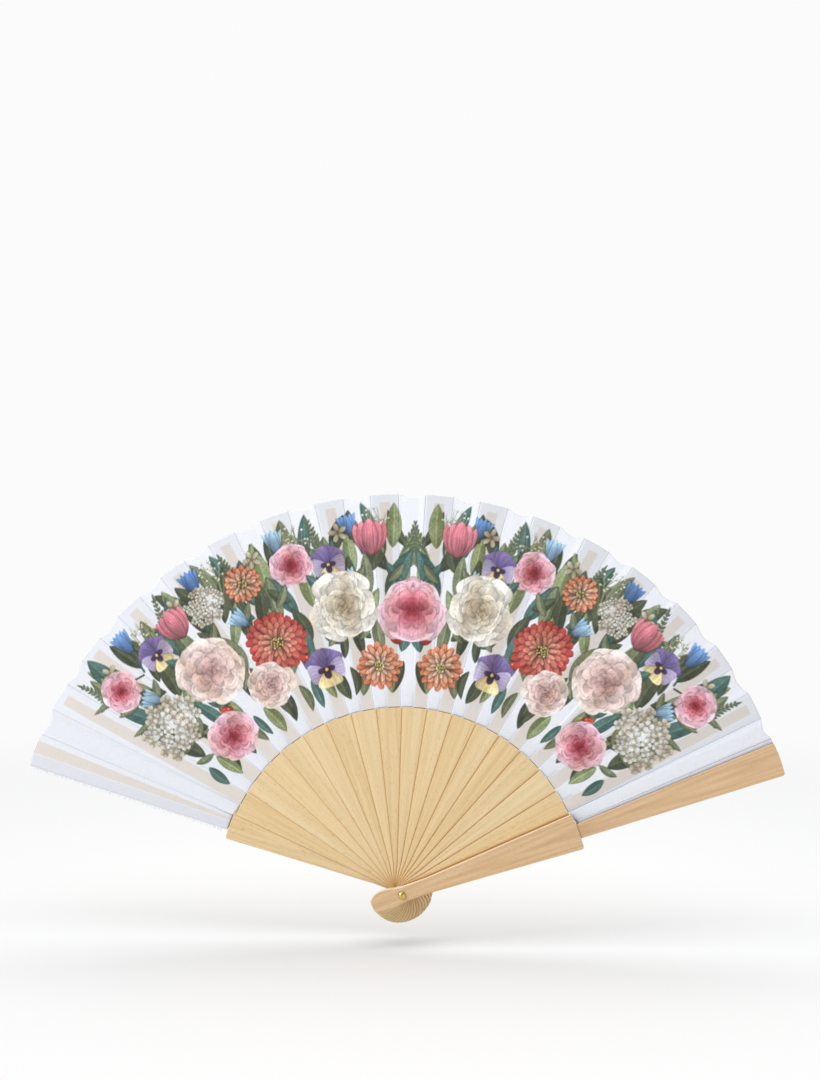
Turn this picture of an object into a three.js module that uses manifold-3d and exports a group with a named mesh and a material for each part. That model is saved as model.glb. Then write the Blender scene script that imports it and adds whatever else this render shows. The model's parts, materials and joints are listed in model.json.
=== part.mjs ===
// Folding hand fan, shown open: two guards and sixteen ribs turn on one rivet, and a pleated cloth leaf
// joins their outer halves.
// Millimetres, +Z up. The origin is on the rivet's axis, at the flat end of its tail, the fan's rearmost
// point. The sticks lie in planes square to Y, one in front of the next, so the open fan is a shallow
// helical ramp: the back guard is the rearmost stick at the left, and the front guard, nearest to someone
// who looks along +Y, is at the right. Heights in the stack are counted from its middle, +Y to the back.
import * as THREE from "three";
import { mergeVertices } from "three/addons/utils/BufferGeometryUtils.js";
import Module from "manifold-3d";

const wasm = await Module();
wasm.setup();

// ---- driving dimensions -------------------------------------------------------------------------------
const RIB_COUNT = 16;
const STICK_COUNT = RIB_COUNT + 2;
const STICK_STEP = THREE.MathUtils.degToRad(8.2); // mean turn from one stick to the next when open
const FRONT_GUARD_TURN = THREE.MathUtils.degToRad(70.2); // the front guard's lean to the right of upright
const STRAY_TURN = THREE.MathUtils.degToRad(1.1); // a fan opens unevenly: some ribs run ahead by this much
const STRAY_STICKS = 14; // the sticks from the back guard over which they do

const LEAF_INNER = 98.6; // the cloth's inner and outer radius
const LEAF_OUTER = 212.5;
const LEAF_THICK = 0.15;

const GORGE_END = 98.2; // the gorge is the wide lower half of a stick, and ends at this radius on a rib
const GORGE_HALF_ANGLE = THREE.MathUtils.degToRad(5.5);
const NECK_HALF = 3.9; // half the width of a stick at the rivet
const NECK_END = 15; // the neck widens from here out to the gorge's end
// The head is the part of a stick below the rivet. Its outline runs through the widest point and the tip,
// and is drawn out towards the others. Each is a half width and a distance below the rivet.
const HEAD_THROAT = [4.6, 3.5];
const HEAD_BULGE = [5.8, 7];
const HEAD_WIDEST = [5.4, 11];
const HEAD_CHEEK = [4.9, 15.4];
const HEAD_TIP = [2, 17];
const HEAD_MIDDLE = [0, 17.4];
// A guard's head is cut flat on one side: the flat's lower end, its rounded corner, and the side's bow.
const FLAT_END = [2.9, 16.6];
const FLAT_CORNER = [3.5, 16.5];
const FLAT_START = [3.7, 15.8];
const FLAT_BOW = [5.2, 9.5];

const RIB_THICK = 0.65;
const RIB_GAP = 0.1; // air between neighbouring sticks
const RIB_PITCH = RIB_THICK + RIB_GAP;
const RIB_CORNER = 0.4;

const SLIP_THICK = 0.3; // the slip is the thin upper half of a rib, which the cloth is glued to
const SLIP_START = 90.2; // inside the gorge, which the slip grows out of
const SLIP_END = 208.5;
const SLIP_ROOT_HALF = 3.3;
const SLIP_TIP_HALF = 2.75;
const SLIP_TO_LEAF = 0.05; // the glue line between slip and cloth
const PLEAT_TILT = THREE.MathUtils.degToRad(9); // lean of each glued pleat once clear of the gorge
const TILT_START = 98;
const TILT_FULL = 118;
const PLEAT_HALF_ANGLE = STICK_STEP / 4; // glued and free pleats share each step equally
const BACK_HEM_ANGLE = THREE.MathUtils.degToRad(2.8); // the raw edge stands a little past the back guard
const FRONT_HEM_ANGLE = PLEAT_HALF_ANGLE; // the last pleat is hidden behind the front guard
const PLEAT_GAP_ANGLE = 0.001; // between one pleat's cloth and the next

const GUARD_THICK = 3;
const GUARD_GORGE_END = 99.5;
const GUARD_CORNER = 1.4;
const SHOULDER_GAP = 0.3; // from a guard's shoulder to the cloth
const BLADE_START = 93.5; // the blade is the guard's narrow upper half, and starts inside the gorge
const BLADE_END = 212.5;
const BLADE_CROWN = 0.7; // the tip is drawn out by this in the middle
const BLADE_ROOT_HALF = 3.6;
const BLADE_TIP_HALF = 9;
const BLADE_CORNER = 1.8;
const BLADE_OUTER_STEP = 0.4; // how far the blade's outer face sits below the gorge's
const BACK_BLADE_INNER = 7.2; // height in the stack of each blade's inner face, clear of the pleats
const FRONT_BLADE_INNER = -7.3;

const HOLE_RADIUS = 1.35;
const SHANK_RADIUS = 1.25;
const DOME_RADIUS = 2;
const DOME_HEIGHT = 1.2;
const WASHER_RADIUS = 2.9;
const WASHER_THICK = 0.5;
const WASHER_CHAMFER = 0.25;
const TAIL_RADIUS = 1.9;
const TAIL_FLAT_RADIUS = 1.15; // the flat that the hammer leaves on the tail
const TAIL_HEIGHT = 0.7;
const TAIL_EDGE = 0.35; // height of the tail's rim
const RIVET_CLEARANCE = 0.05; // under the rivet's dome and washer
const DOME_STEPS = 6;
const ROUND_SEGMENTS = 24;

// ---- dimensions that follow ---------------------------------------------------------------------------
const ribHeight = (k) => ((RIB_COUNT + 1) / 2 - k) * RIB_PITCH; // mid-plane of rib k, 1 to RIB_COUNT
const stray = (k) => STRAY_TURN * Math.sin(Math.PI * Math.min(k / STRAY_STICKS, 1)) ** 2;
// How far stick k, 0 being the back guard, leans to the right of upright.
const stickTurn = (k) => FRONT_GUARD_TURN - (STICK_COUNT - 1 - k) * STICK_STEP + stray(k);
const GUARD_INNER = ribHeight(1) + RIB_THICK / 2 + RIB_GAP;
const GUARD_OUTER = GUARD_INNER + GUARD_THICK;
const BLADE_OUTER = GUARD_OUTER - BLADE_OUTER_STEP;
const RIVET_FACE = GUARD_OUTER + RIVET_CLEARANCE;
const TAIL_FOOT = RIVET_FACE + WASHER_THICK + RIVET_CLEARANCE;
const TAIL_END = TAIL_FOOT + TAIL_HEIGHT;
const SLIP_BACK = RIB_THICK / 2; // the slip is flush with the back of its rib
const SLIP_FRONT = SLIP_BACK - SLIP_THICK;
const LEAF_MIDDLE = SLIP_FRONT - SLIP_TO_LEAF - LEAF_THICK / 2;

// ---- solids -------------------------------------------------------------------------------------------
function toSolid(geometry) {
  const bare = geometry.clone();
  for (const name of Object.keys(bare.attributes)) if (name !== "position") bare.deleteAttribute(name);
  const merged = mergeVertices(bare, 1e-4);
  return new wasm.Manifold(
    new wasm.Mesh({
      numProp: 3,
      vertProperties: merged.attributes.position.array,
      triVerts: new Uint32Array(merged.index.array),
    }),
  );
}

function toGeometry(solid) {
  const mesh = solid.getMesh();
  const geometry = new THREE.BufferGeometry();
  geometry.setAttribute("position", new THREE.BufferAttribute(mesh.vertProperties, 3));
  geometry.setIndex(new THREE.BufferAttribute(mesh.triVerts, 1));
  return geometry;
}

const joined = (...geometries) => toGeometry(geometries.map(toSolid).reduce((a, b) => a.add(b)));

// A flat plate with the outline drawn in X and Z, between the heights back and front on the Y axis.
function plate(shape, front, back, curveSegments = 6) {
  const geometry = new THREE.ExtrudeGeometry(shape, {
    depth: back - front,
    bevelEnabled: false,
    curveSegments,
  });
  return geometry.rotateX(Math.PI / 2).translate(0, back, 0);
}

// A box of one unit with segments, each of whose points is then put in its place by the given function,
// which gets the shares across, through and along, each from 0 to 1.
function mappedBox(across, along, place) {
  const geometry = new THREE.BoxGeometry(1, 1, 1, across, 1, along);
  const position = geometry.attributes.position;
  const point = new THREE.Vector3();
  for (let i = 0; i < position.count; i++) {
    point.fromBufferAttribute(position, i).addScalar(0.5);
    position.setXYZ(i, ...place(point.x, point.y, point.z));
  }
  return geometry;
}

// Radii at which a tilted strip is divided, close together where the tilt sets in.
function stations(start, end) {
  const steps = 4;
  const inner = Array.from({ length: steps }, (_, i) =>
    THREE.MathUtils.lerp(TILT_START, TILT_FULL, (i + 1) / steps),
  );
  return [start, ...inner.filter((r) => r > start + 1), end];
}

const stationAt = (list, share) => list[Math.round(share * (list.length - 1))];

const tiltSlope = (radius) =>
  Math.tan(PLEAT_TILT) * THREE.MathUtils.smoothstep(radius, TILT_START, TILT_FULL);

// ---- sticks -------------------------------------------------------------------------------------------
// Outline of the head, neck and gorge of a stick that points up from the rivet. Its head is rounded on
// both sides, or with flatRight, as on a guard, cut nearly straight on the right down to a corner.
function gorgeShape(gorgeEnd, cornerRadius, flatRight) {
  const inset = cornerRadius / gorgeEnd;
  const cornerStart = gorgeEnd - cornerRadius;
  const at = (radius, turn) => [radius * Math.sin(turn), radius * Math.cos(turn)];
  const left = ([half, below]) => [-half, -below];
  const right = ([half, below]) => [half, -below];
  const shape = new THREE.Shape();
  shape.moveTo(-NECK_HALF, 0);
  shape.bezierCurveTo(...left(HEAD_THROAT), ...left(HEAD_BULGE), ...left(HEAD_WIDEST));
  shape.quadraticCurveTo(...left(HEAD_CHEEK), ...left(HEAD_TIP));
  if (flatRight) {
    shape.lineTo(...right(FLAT_END));
    shape.quadraticCurveTo(...right(FLAT_CORNER), ...right(FLAT_START));
    shape.quadraticCurveTo(...right(FLAT_BOW), NECK_HALF, 0);
  } else {
    shape.quadraticCurveTo(...right(HEAD_MIDDLE), ...right(HEAD_TIP));
    shape.quadraticCurveTo(...right(HEAD_CHEEK), ...right(HEAD_WIDEST));
    shape.bezierCurveTo(...right(HEAD_BULGE), ...right(HEAD_THROAT), NECK_HALF, 0);
  }
  shape.lineTo(NECK_HALF, NECK_END);
  shape.lineTo(...at(cornerStart, GORGE_HALF_ANGLE));
  shape.quadraticCurveTo(...at(gorgeEnd, GORGE_HALF_ANGLE), ...at(gorgeEnd, GORGE_HALF_ANGLE - inset));
  const start = Math.PI / 2 - GORGE_HALF_ANGLE + inset;
  shape.absarc(0, 0, gorgeEnd, start, Math.PI - start, false);
  shape.quadraticCurveTo(...at(gorgeEnd, -GORGE_HALF_ANGLE), ...at(cornerStart, -GORGE_HALF_ANGLE));
  shape.lineTo(-NECK_HALF, NECK_END);
  shape.holes.push(new THREE.Path(circlePoints(HOLE_RADIUS)));
  return shape;
}

function circlePoints(radius) {
  return Array.from({ length: ROUND_SEGMENTS }, (_, i) => {
    const turn = (-2 * Math.PI * i) / ROUND_SEGMENTS;
    return new THREE.Vector2(radius * Math.cos(turn), radius * Math.sin(turn));
  });
}

function ribGeometry() {
  const gorge = plate(gorgeShape(GORGE_END, RIB_CORNER, false), -RIB_THICK / 2, RIB_THICK / 2);
  const rows = stations(SLIP_START, SLIP_END);
  const slip = mappedBox(1, rows.length - 1, (across, through, along) => {
    const z = stationAt(rows, along);
    const share = (z - GORGE_END) / (SLIP_END - GORGE_END);
    const half = THREE.MathUtils.lerp(SLIP_ROOT_HALF, SLIP_TIP_HALF, Math.max(share, 0));
    const x = (2 * across - 1) * half;
    return [x, SLIP_FRONT + SLIP_THICK * through + x * tiltSlope(z), z];
  });
  return joined(gorge, slip);
}

// Outline of a guard's blade, which widens from the gorge to the tip.
function bladeShape() {
  const flare = (BLADE_TIP_HALF - BLADE_ROOT_HALF) / (BLADE_END - BLADE_START);
  const shoulder = BLADE_TIP_HALF - flare * BLADE_CORNER;
  const shape = new THREE.Shape();
  shape.moveTo(-BLADE_ROOT_HALF, BLADE_START);
  shape.lineTo(BLADE_ROOT_HALF, BLADE_START);
  shape.lineTo(shoulder, BLADE_END - BLADE_CORNER);
  shape.quadraticCurveTo(BLADE_TIP_HALF, BLADE_END, BLADE_TIP_HALF - BLADE_CORNER, BLADE_END);
  shape.quadraticCurveTo(0, BLADE_END + BLADE_CROWN, BLADE_CORNER - BLADE_TIP_HALF, BLADE_END);
  shape.quadraticCurveTo(-BLADE_TIP_HALF, BLADE_END, -shoulder, BLADE_END - BLADE_CORNER);
  return shape;
}

// A guard is a thick gorge and a thinner blade; facing is 1 for the back guard, -1 for the front.
function guardGeometry(facing, bladeInner) {
  const ends = (a, b) => [Math.min(a, b), Math.max(a, b)];
  const gorgeOutline = gorgeShape(GUARD_GORGE_END, GUARD_CORNER, true);
  return joined(
    plate(gorgeOutline, ...ends(facing * GUARD_INNER, facing * GUARD_OUTER)),
    plate(bladeShape(), ...ends(bladeInner, facing * BLADE_OUTER)),
  );
}

// ---- cloth --------------------------------------------------------------------------------------------
// One pleat's share of the cloth: the part glued to a stick, and the free part up to the next stick's.
// On a rib the glued part leans with its slip, its left edge forward, and the free part carries on level;
// on a guard all of it is level and starts beyond the guard's shoulder.
function pleatGeometry(startAngle, endAngle, middle, onRib) {
  const rows = stations(onRib ? LEAF_INNER : GUARD_GORGE_END + SHOULDER_GAP, LEAF_OUTER);
  const columns = Math.max(2, Math.round((endAngle - startAngle) / PLEAT_HALF_ANGLE));
  return mappedBox(columns, rows.length - 1, (across, through, along) => {
    const turn = THREE.MathUtils.lerp(startAngle, endAngle, across);
    const radius = stationAt(rows, along);
    const held = THREE.MathUtils.clamp(turn, -PLEAT_HALF_ANGLE, PLEAT_HALF_ANGLE);
    const lean = onRib ? radius * Math.sin(held) * tiltSlope(radius) : 0;
    return [
      radius * Math.sin(turn),
      middle + (through - 0.5) * LEAF_THICK + lean,
      radius * Math.cos(turn),
    ];
  });
}

// ---- rivet --------------------------------------------------------------------------------------------
function rivetGeometry() {
  const dome = Array.from({ length: DOME_STEPS }, (_, i) => {
    const turn = (i / DOME_STEPS) * (Math.PI / 2);
    return new THREE.Vector2(DOME_RADIUS * Math.sin(turn), -RIVET_FACE - DOME_HEIGHT * Math.cos(turn));
  });
  return new THREE.LatheGeometry(
    [
      ...dome,
      new THREE.Vector2(DOME_RADIUS, -RIVET_FACE),
      new THREE.Vector2(SHANK_RADIUS, -RIVET_FACE),
      new THREE.Vector2(SHANK_RADIUS, TAIL_FOOT),
      new THREE.Vector2(TAIL_RADIUS, TAIL_FOOT),
      new THREE.Vector2(TAIL_RADIUS, TAIL_FOOT + TAIL_EDGE),
      new THREE.Vector2(TAIL_FLAT_RADIUS, TAIL_END),
      new THREE.Vector2(0, TAIL_END),
    ],
    ROUND_SEGMENTS,
  );
}

function washerGeometry() {
  const ring = [
    new THREE.Vector2(HOLE_RADIUS, RIVET_FACE),
    new THREE.Vector2(WASHER_RADIUS, RIVET_FACE),
    new THREE.Vector2(WASHER_RADIUS, RIVET_FACE + WASHER_THICK - WASHER_CHAMFER),
    new THREE.Vector2(WASHER_RADIUS - WASHER_CHAMFER, RIVET_FACE + WASHER_THICK),
    new THREE.Vector2(HOLE_RADIUS, RIVET_FACE + WASHER_THICK),
    new THREE.Vector2(HOLE_RADIUS, RIVET_FACE),
  ];
  return new THREE.LatheGeometry(ring, ROUND_SEGMENTS);
}

// ---- materials ----------------------------------------------------------------------------------------
const ribWood = new THREE.MeshStandardMaterial({ color: 0xe6cf9b, roughness: 0.62, metalness: 0 });
const guardWood = new THREE.MeshStandardMaterial({ color: 0xdcbd92, roughness: 0.58, metalness: 0 });
const cloth = new THREE.MeshStandardMaterial({ color: 0xeef1f6, roughness: 0.9, metalness: 0 });
const brass = new THREE.MeshStandardMaterial({ color: 0xd9c15a, roughness: 0.25, metalness: 1 });

function named(name, geometry, material) {
  const mesh = new THREE.Mesh(geometry, material);
  mesh.name = name;
  return mesh;
}

// ---- assembly -----------------------------------------------------------------------------------------
const fan = new THREE.Group();
fan.position.y = -TAIL_END;
const twoDigits = (k) => String(k).padStart(2, "0");

// A stick and its share of the cloth, turned together about the rivet.
function addStick(k, height, ...meshes) {
  const stick = new THREE.Group();
  stick.rotation.y = stickTurn(k);
  stick.position.y = height;
  stick.add(...meshes);
  fan.add(stick);
}

// The cloth on stick k reaches to just short of the cloth on the next stick.
const pleatEnd = (k) => stickTurn(k + 1) - stickTurn(k) - PLEAT_HALF_ANGLE - PLEAT_GAP_ANGLE;
const guardCloth = LEAF_THICK / 2 + SLIP_TO_LEAF;
const backPleat = pleatGeometry(-BACK_HEM_ANGLE, pleatEnd(0), BACK_BLADE_INNER - guardCloth, false);
const frontPleat = pleatGeometry(-FRONT_HEM_ANGLE, FRONT_HEM_ANGLE, FRONT_BLADE_INNER + guardCloth, false);

addStick(
  0,
  0,
  named("back_guard", guardGeometry(1, BACK_BLADE_INNER), guardWood),
  named("leaf_pleat_00", backPleat, cloth),
);
for (let k = 1; k <= RIB_COUNT; k++) {
  const pleat = pleatGeometry(-PLEAT_HALF_ANGLE, pleatEnd(k), LEAF_MIDDLE, true);
  addStick(
    k,
    ribHeight(k),
    named("rib_" + twoDigits(k), ribGeometry(), ribWood),
    named("leaf_pleat_" + twoDigits(k), pleat, cloth),
  );
}
addStick(
  STICK_COUNT - 1,
  0,
  named("front_guard", guardGeometry(-1, FRONT_BLADE_INNER), guardWood),
  named("leaf_pleat_" + (STICK_COUNT - 1), frontPleat, cloth),
);
fan.add(named("rivet", rivetGeometry(), brass), named("rivet_washer", washerGeometry(), brass));

export default fan;
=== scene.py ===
"""The looks of a folding hand fan around its CAD frame: printed cloth, wooden sticks and a brass rivet."""
import json
import math

import bmesh
import bpy
import numpy as np
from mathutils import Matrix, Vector


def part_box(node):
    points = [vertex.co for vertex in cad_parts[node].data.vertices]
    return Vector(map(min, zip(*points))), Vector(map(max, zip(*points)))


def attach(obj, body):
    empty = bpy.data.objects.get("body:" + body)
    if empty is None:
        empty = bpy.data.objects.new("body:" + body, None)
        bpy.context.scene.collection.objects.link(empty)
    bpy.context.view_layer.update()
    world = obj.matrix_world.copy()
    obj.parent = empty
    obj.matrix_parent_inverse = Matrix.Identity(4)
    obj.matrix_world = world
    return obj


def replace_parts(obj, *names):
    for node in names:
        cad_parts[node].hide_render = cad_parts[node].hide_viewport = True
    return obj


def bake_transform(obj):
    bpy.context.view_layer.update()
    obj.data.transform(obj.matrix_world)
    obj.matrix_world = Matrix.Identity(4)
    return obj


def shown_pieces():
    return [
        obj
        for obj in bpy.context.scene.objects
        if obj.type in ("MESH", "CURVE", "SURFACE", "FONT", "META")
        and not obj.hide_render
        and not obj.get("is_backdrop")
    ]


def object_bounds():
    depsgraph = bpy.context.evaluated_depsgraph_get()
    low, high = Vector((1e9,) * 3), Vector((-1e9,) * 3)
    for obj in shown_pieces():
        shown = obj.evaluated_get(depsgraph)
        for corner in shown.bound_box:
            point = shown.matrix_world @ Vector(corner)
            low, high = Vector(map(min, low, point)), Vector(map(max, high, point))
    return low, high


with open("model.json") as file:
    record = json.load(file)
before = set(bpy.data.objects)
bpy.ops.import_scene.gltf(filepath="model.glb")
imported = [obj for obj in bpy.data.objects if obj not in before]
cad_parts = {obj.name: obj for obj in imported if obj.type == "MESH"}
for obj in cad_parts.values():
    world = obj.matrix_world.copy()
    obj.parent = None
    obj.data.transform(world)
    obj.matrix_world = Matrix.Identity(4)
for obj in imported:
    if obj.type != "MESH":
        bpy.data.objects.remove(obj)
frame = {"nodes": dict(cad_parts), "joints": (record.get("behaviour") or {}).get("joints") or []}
cad_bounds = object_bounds()

SEED = 11
CANVAS_STEP = 0.25  # mm between the canvas's points
CANVAS_LEFT, CANVAS_RIGHT = -8.0, 208.0
CANVAS_BOTTOM, CANVAS_TOP = 34.0, 216.0


def rgb(code):
    """A colour from its six hex digits, as shares."""
    return np.array([int(code[i : i + 2], 16) / 255 for i in (0, 2, 4)], np.float32)


def linear_light(colours):
    """Colours as the shares of light that nodes and mesh attributes hold."""
    return np.where(colours < 0.04045, colours / 12.92, ((colours + 0.055) / 1.055) ** 2.4)


def polar(turn, radius):
    """The point at a turn from the leaf's middle, in degrees, and a radius from the rivet, in mm."""
    angle = math.radians(turn)
    return np.array([radius * math.sin(angle), radius * math.cos(angle)])


def smooth_noise(rng, rows, columns, cell):
    """Random values from 0 to 1, blended smoothly between points that are `cell` canvas points apart."""
    coarse = rng.random((rows // cell + 2, columns // cell + 2)).astype(np.float32)
    y, x = np.arange(rows) / cell, np.arange(columns) / cell
    i, j = y.astype(int)[:, None], x.astype(int)[None, :]
    v, u = (y % 1)[:, None], (x % 1)[None, :]
    v, u = v * v * (3 - 2 * v), u * u * (3 - 2 * u)
    low = coarse[i, j] * (1 - u) + coarse[i, j + 1] * u
    high = coarse[i + 1, j] * (1 - u) + coarse[i + 1, j + 1] * u
    return (low * (1 - v) + high * v).astype(np.float32)


class Canvas:
    """The print's right half, painted flat. Each point holds its ink, times how much ink covers it."""

    def __init__(self):
        self.rng = np.random.default_rng(SEED)
        self.x = np.arange(CANVAS_LEFT, CANVAS_RIGHT, CANVAS_STEP, np.float32)
        self.y = np.arange(CANVAS_BOTTOM, CANVAS_TOP, CANVAS_STEP, np.float32)
        shape = (len(self.y), len(self.x))
        self.ink = np.zeros((*shape, 3), np.float32)
        self.cover = np.zeros(shape, np.float32)
        self.blotch = smooth_noise(self.rng, *shape, 14)
        self.fleck = smooth_noise(self.rng, *shape, 3)

    def window(self, low, high):
        """The slices of the canvas between two corners, and the coordinates there."""
        bottom, top = (int((y - CANVAS_BOTTOM) / CANVAS_STEP) for y in (low[1], high[1]))
        left, right = (int((x - CANVAS_LEFT) / CANVAS_STEP) for x in (low[0], high[0]))
        i = np.clip([bottom, top + 2], 0, len(self.y))
        j = np.clip([left, right + 2], 0, len(self.x))
        part = (slice(i[0], i[1]), slice(j[0], j[1]))
        return part, self.x[None, part[1]], self.y[part[0], None]

    def lay(self, part, inside, colour, shade, depth=1.0):
        """Lays a colour and a shadow round it. `inside` is the depth within the shape's edge, in mm."""
        solid = np.clip(inside / 0.3 + 0.5, 0, 1) * depth
        fall = np.clip(1 + inside / 0.9, 0, 1) ** 2 * shade
        a = solid[..., None]
        self.ink[part] = self.ink[part] * (1 - fall[..., None]) * (1 - a) + colour * a
        self.cover[part] = self.cover[part] * (1 - solid) + solid

    def petal(self, base, tip, half, paint, bend=0.0, form=(0.7, 0.9), shade=0.3, edge=0.2, depth=1.0):
        """A petal or leaf. form sets how fast it widens and narrows, and bend how far it bows, in mm."""
        base, tip = np.asarray(base, float), np.asarray(tip, float)
        length = max(float(np.hypot(*(tip - base))), 0.01)
        along = (tip - base) / length
        pad = half + abs(bend) + 1.2
        part, x, y = self.window(np.minimum(base, tip) - pad, np.maximum(base, tip) + pad)
        if part[0].start >= part[0].stop or part[1].start >= part[1].stop:
            return
        dx, dy = x - base[0], y - base[1]
        s = (dx * along[0] + dy * along[1]) / length
        t = dx * along[1] - dy * along[0] - bend * 4 * s * (1 - s)
        a, b = form
        peak = (a / (a + b)) ** a * (b / (a + b)) ** b
        c = np.clip(s, 1e-4, 1 - 1e-4)
        profile = half * c**a * (1 - c) ** b / peak
        inside = np.where((s > 0) & (s < 1), profile - np.abs(t), -np.abs(t) - np.maximum(-s, s - 1) * length)
        w = np.clip(t / np.maximum(profile, 0.05), -1, 1)
        colour = paint(np.clip(s, 0, 1), w, self.blotch[part], self.fleck[part])
        colour = colour * (1 - edge * np.exp(-np.maximum(inside, 0) / 0.3))[..., None]
        self.lay(part, inside, colour, shade, depth)

    def stroke(self, points, half, colour, taper=0.5, shade=0.15):
        """A stem through the points, which thins towards its last one by the share taper."""
        pts = spline([np.asarray(p, float) for p in points])
        for i in range(len(pts) - 1):
            share = i / max(len(pts) - 2, 1)
            h = half * (1 - taper * share)
            a, b = pts[i], pts[i + 1]
            pad = h + 1
            part, x, y = self.window(np.minimum(a, b) - pad, np.maximum(a, b) + pad)
            d = b - a
            s = np.clip(((x - a[0]) * d[0] + (y - a[1]) * d[1]) / max(float(d @ d), 1e-6), 0, 1)
            off = np.hypot(x - a[0] - s * d[0], y - a[1] - s * d[1])
            lit = 0.9 + 0.25 * (x - a[0] - s * d[0] < 0) * (off / h)
            self.lay(part, h - off, colour * lit[..., None], shade)

    def dot(self, centre, radius, colour, shade=0.2, light=0.35, squash=1.0):
        """A round spot with a highlight at its upper left."""
        pad = radius + 1
        part, x, y = self.window(centre - pad, centre + pad)
        off = np.hypot(x - centre[0], (y - centre[1]) / squash)
        from_glint = (x - centre[0] + radius * 0.35) ** 2 + (y - centre[1] - radius * 0.35) ** 2
        glow = np.exp(-(from_glint / (0.3 * radius**2)))
        tone = colour * (1.05 - 0.35 * (off / radius) ** 2)[..., None]
        self.lay(part, radius - off, tone + light * glow[..., None], shade)


def spline(points, steps=6):
    """More points on a smooth line through the given ones."""
    p = [2 * points[0] - points[1], *points, 2 * points[-1] - points[-2]]
    out = []
    for i in range(1, len(p) - 2):
        for k in range(steps):
            t = k / steps
            out.append(
                0.5 * (2 * p[i] + (p[i + 1] - p[i - 1]) * t
                       + (2 * p[i - 1] - 5 * p[i] + 4 * p[i + 1] - p[i + 2]) * t * t
                       + (3 * p[i] - p[i - 1] - 3 * p[i + 1] + p[i + 2]) * t**3)
            )
    return [*out, points[-1]]


def mix(a, b, share):
    """Colours between a and b."""
    share = np.asarray(share)[..., None]
    return a * (1 - share) + b * share


# ---- paints: each gives a colour from the shares along and across a petal and two noises ----
def wash(base, tip, power=1.0, streaks=9.0, vein=0.12, side=0.1):
    """A wash from the base's colour to the tip's, with fine streaks along it and one side in shade."""

    def paint(s, w, blotch, fleck):
        colour = mix(base, tip, s**power)
        lines = np.cos(w * streaks * math.pi + 5 * blotch) * vein * (1 - 0.5 * s)
        tone = 1 + lines * 0.5 - side * w + 0.16 * (blotch - 0.5) + 0.1 * (fleck - 0.5)
        return np.clip(colour * tone[..., None], 0, 1)

    return paint


def foliage(dark, light, rib=0.3):
    """A leaf's paint: a paler midrib and side veins, one half darker than the other."""

    def paint(s, w, blotch, fleck):
        half = np.where(w > 0, 0.25, 0.75)
        colour = mix(dark, light, np.clip(half + 0.5 * (blotch - 0.5) + 0.2 * s, 0, 1))
        midrib = np.exp(-((w / 0.1) ** 2)) * rib
        veins = np.maximum(np.cos((s * 9 - np.abs(w) * 1.6) * 2 * math.pi), 0) ** 4 * rib * 0.35
        tone = 1 + 0.2 * (fleck - 0.5) + midrib + veins
        return np.clip(colour * tone[..., None], 0, 1)

    return paint


# ---- greens ----
DARK_LEAF = foliage(rgb("343b2c"), rgb("565d45"))
MID_LEAF = foliage(rgb("525c44"), rgb("80886a"))
PALE_LEAF = foliage(rgb("66744c"), rgb("94a078"))
TEAL_LEAF = foliage(rgb("35534e"), rgb("577770"))
STEM = rgb("6b7850")
DARK_STEM = rgb("3f4a36")
TEAL_STEM = rgb("3a6560")


def leaf(c, base, tip, half, paint=MID_LEAF, bend=0.0):
    """A leaf between two places, each a turn and a radius."""
    c.petal(polar(*base), polar(*tip), half, paint, bend, form=(0.75, 0.85), shade=0.4)


def stem(c, points, half=0.6, colour=STEM):
    """A stem through places."""
    c.stroke([polar(*p) for p in points], half, colour)


def frond(c, base, tip, size, count=9, bend=0.0, tone="6d7d5c"):
    """A feathery sprig: leaflets in pairs along a stem, shorter towards its tip."""
    a, b = polar(*base), polar(*tip)
    along = b - a
    across = np.array([along[1], -along[0]]) / np.hypot(*along)
    paint = foliage(rgb(tone) * 0.72, rgb(tone) * 1.05, 0.1)
    centre = [a + along * t + across * bend * 4 * t * (1 - t) for t in np.linspace(0, 1, 6)]
    c.stroke(centre, 0.4, rgb(tone) * 0.8, taper=0.6, shade=0.05)
    for i in range(count):
        t = 0.08 + 0.86 * i / count
        root = a + along * t + across * bend * 4 * t * (1 - t)
        reach = size * (1 - 0.75 * t)
        for side in (-1, 1):
            lean = along / np.hypot(*along) * 0.85 + across * side * (0.8 + 0.3 * (c.rng.random() - 0.5))
            c.petal(root, root + lean * reach, reach * 0.2 + 0.25, paint, shade=0.1, form=(0.5, 0.8))
    c.petal(centre[-2], b + along * 0.03, 0.7, paint, shade=0.1)


def spray(c, base, tips, tone="8d9474", bloom="e8e8dc"):
    """Baby's breath: thin stems that part from one point, each with a few tiny blooms."""
    root = polar(*base)
    for tip in tips:
        end = polar(*tip)
        middle = root + (end - root) * 0.55 + c.rng.normal(0, 0.8, 2)
        c.stroke([root, middle, end], 0.3, rgb(tone), taper=0.4, shade=0.0)
        for _ in range(4):
            side = middle + (end - middle) * c.rng.random() + c.rng.normal(0, 1.7, 2)
            c.stroke([middle + (end - middle) * 0.4, side], 0.2, rgb(tone), taper=0.3, shade=0.0)
            c.dot(side, 0.65, rgb(bloom), shade=0.1, light=0.1)
            c.dot(side - [0.2, 0.5], 0.4, rgb("a09c70"), shade=0.0, light=0.0)
        c.dot(end, 0.7, rgb(bloom), shade=0.1, light=0.1)


# ---- flowers ----
def ring(centre, radii, turn, count, start=0.0):
    """Directions of a ring's petals, each as a point on an ellipse about the centre."""
    for i in range(count):
        a = start + 2 * math.pi * i / count
        local = np.array([math.sin(a) * radii[0], math.cos(a) * radii[1]])
        yield a, centre + spun(local, turn)


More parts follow.
